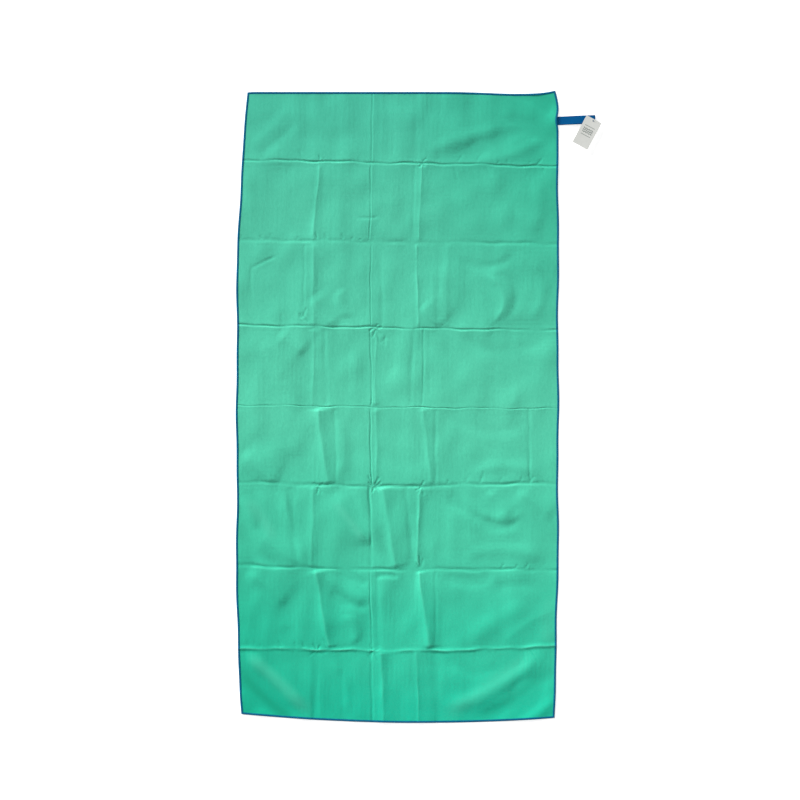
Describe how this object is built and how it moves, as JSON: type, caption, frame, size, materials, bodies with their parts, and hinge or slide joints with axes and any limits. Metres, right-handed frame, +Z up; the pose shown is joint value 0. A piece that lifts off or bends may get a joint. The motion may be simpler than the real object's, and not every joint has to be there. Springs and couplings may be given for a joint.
{
  "type": "quick dry towel",
  "caption": "Thin microfibre travel towel with overlocked edges, pressed accordion folds, a tape hanging loop and a card tag on a pin.",
  "frame": {"origin": "centre of the bounding box's floor, under the towel", "axes": "+Z up from the surface that the towel lies on, +Y along the towel's length towards the end with the loop, +X across the towel towards the side with the loop"},
  "size_m": [0.8034, 1.386, 0.0084],
  "materials": {
    "cloth": "mint green microfibre suede, matt with a short nap",
    "edging": "blue overlock thread, ribbed",
    "tape": "blue woven tape with a firm selvedge",
    "card": "pale grey matt card",
    "pin": "clear plastic"
  },
  "bodies": {
    "panel_1": {"cloth_panel_1": "cloth", "left_edging_1": "edging", "right_edging_1": "edging", "top_edging": "edging", "loop_stitching": "edging"},
    "panel_2": {"cloth_panel_2": "cloth", "left_edging_2": "edging", "right_edging_2": "edging"},
    "panel_3": {"cloth_panel_3": "cloth", "left_edging_3": "edging", "right_edging_3": "edging"},
    "panel_4": {"cloth_panel_4": "cloth", "left_edging_4": "edging", "right_edging_4": "edging"},
    "panel_5": {"cloth_panel_5": "cloth", "left_edging_5": "edging", "right_edging_5": "edging"},
    "panel_6": {"cloth_panel_6": "cloth", "left_edging_6": "edging", "right_edging_6": "edging"},
    "panel_7": {"cloth_panel_7": "cloth", "left_edging_7": "edging", "right_edging_7": "edging"},
    "panel_8": {"cloth_panel_8": "cloth", "left_edging_8": "edging", "right_edging_8": "edging", "bottom_edging": "edging"},
    "loop": {"hanging_loop": "tape", "tag_pin": "pin"},
    "tag": {"hang_tag": "card"}
  },
  "joints": [
    {"name": "fold_1", "type": "hinge", "parent": "panel_1", "child": "panel_2", "pos_m": [0, 0.5381, 0.0041], "axis": [-1, 0, 0], "range_deg": [0, 179.5]},
    {"name": "fold_2", "type": "hinge", "parent": "panel_2", "child": "panel_3", "pos_m": [0, 0.3644, -0.00015], "axis": [1, 0, 0], "range_deg": [0, 179.5]},
    {"name": "fold_3", "type": "hinge", "parent": "panel_3", "child": "panel_4", "pos_m": [0, 0.1767, 0.0041], "axis": [-1, 0, 0], "range_deg": [0, 179.5]},
    {"name": "fold_4", "type": "hinge", "parent": "panel_4", "child": "panel_5", "pos_m": [0, 0.002, -0.00015], "axis": [1, 0, 0], "range_deg": [0, 179.5]},
    {"name": "fold_5", "type": "hinge", "parent": "panel_5", "child": "panel_6", "pos_m": [0, -0.1697, 0.0041], "axis": [-1, 0, 0], "range_deg": [0, 179.5]},
    {"name": "fold_6", "type": "hinge", "parent": "panel_6", "child": "panel_7", "pos_m": [0, -0.3544, -0.00015], "axis": [1, 0, 0], "range_deg": [0, 179.5]},
    {"name": "fold_7", "type": "hinge", "parent": "panel_7", "child": "panel_8", "pos_m": [0, -0.5321, 0.0041], "axis": [-1, 0, 0], "range_deg": [0, 179.5]},
    {"name": "loop_lift", "type": "hinge", "parent": "panel_1", "child": "loop", "pos_m": [0.31471, 0.6315, 0.00325], "axis": [0, -1, 0], "range_deg": [0, 90]},
    {"name": "tag_swivel", "type": "hinge", "parent": "loop", "child": "tag", "pos_m": [0.38416, 0.6315, 0.0068], "axis": [0, 0, 1], "continuous": true}
  ],
  "couplings": [
    {"joint": "fold_2", "follows": "fold_1", "ratio": 1},
    {"joint": "fold_3", "follows": "fold_1", "ratio": 1},
    {"joint": "fold_4", "follows": "fold_1", "ratio": 1},
    {"joint": "fold_5", "follows": "fold_1", "ratio": 1},
    {"joint": "fold_6", "follows": "fold_1", "ratio": 1},
    {"joint": "fold_7", "follows": "fold_1", "ratio": 1}
  ]
}
